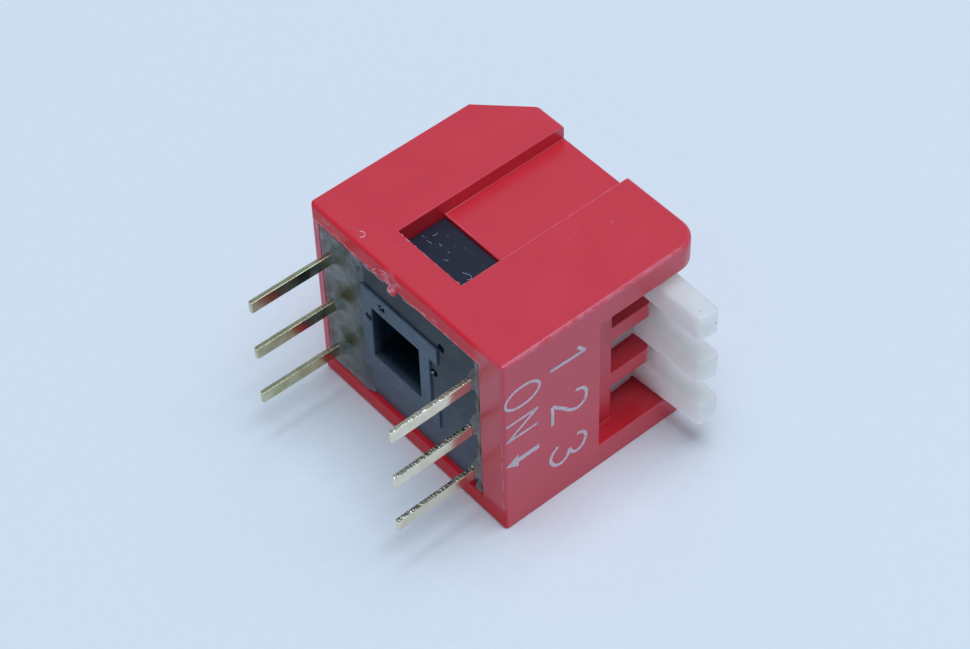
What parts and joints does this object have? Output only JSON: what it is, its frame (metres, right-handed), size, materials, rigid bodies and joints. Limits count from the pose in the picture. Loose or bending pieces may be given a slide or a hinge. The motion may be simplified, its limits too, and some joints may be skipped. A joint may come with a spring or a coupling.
{
  "type": "piano dip switch",
  "caption": "Small piano-type DIP switch: red housing with a sloped back edge, milky side levers, black latched base, flat pins in two rows sealed with resin.",
  "frame": {"origin": "middle of the pin grid on the seating plane, the housing's bottom rim", "axes": "+Z away from the board, the levers look out towards -Y, +X from position 1 to position 3"},
  "size_m": [0.0092, 0.0128, 0.0133],
  "materials": {
    "housing_plastic": "glossy moulded thermoplastic, lightly scratched",
    "base_plastic": "fine moulded semi-matt",
    "lever_nylon": "milky translucent nylon, satin",
    "contact_spring": "gold-plated spring strip",
    "terminal_plating": "bright gold-plated stamped strip with sheared edges",
    "casting_resin": "grey-green translucent casting resin"
  },
  "bodies": {
    "switch_body": {"housing": "housing_plastic", "base": "base_plastic", "front_terminal_1": "terminal_plating", "front_terminal_2": "terminal_plating", "front_terminal_3": "terminal_plating", "back_terminal_1": "terminal_plating", "back_terminal_2": "terminal_plating", "back_terminal_3": "terminal_plating", "front_resin_seal": "casting_resin", "back_resin_seal": "casting_resin"},
    "lever_1_body": {"lever_1": "lever_nylon", "moving_contact_1": "contact_spring"},
    "lever_2_body": {"lever_2": "lever_nylon", "moving_contact_2": "contact_spring"},
    "lever_3_body": {"lever_3": "lever_nylon", "moving_contact_3": "contact_spring"}
  },
  "joints": [
    {"name": "lever_1_turn", "type": "hinge", "parent": "switch_body", "child": "lever_1_body", "pos_m": [-0.00254, -0.0025, 0.0072], "axis": [1, 0, 0], "range_deg": [0, 18]},
    {"name": "lever_2_turn", "type": "hinge", "parent": "switch_body", "child": "lever_2_body", "pos_m": [0, -0.0025, 0.0072], "axis": [1, 0, 0], "range_deg": [0, 20]},
    {"name": "lever_3_turn", "type": "hinge", "parent": "switch_body", "child": "lever_3_body", "pos_m": [0.00254, -0.0025, 0.0072], "axis": [1, 0, 0], "range_deg": [0, 21.5]}
  ]
}
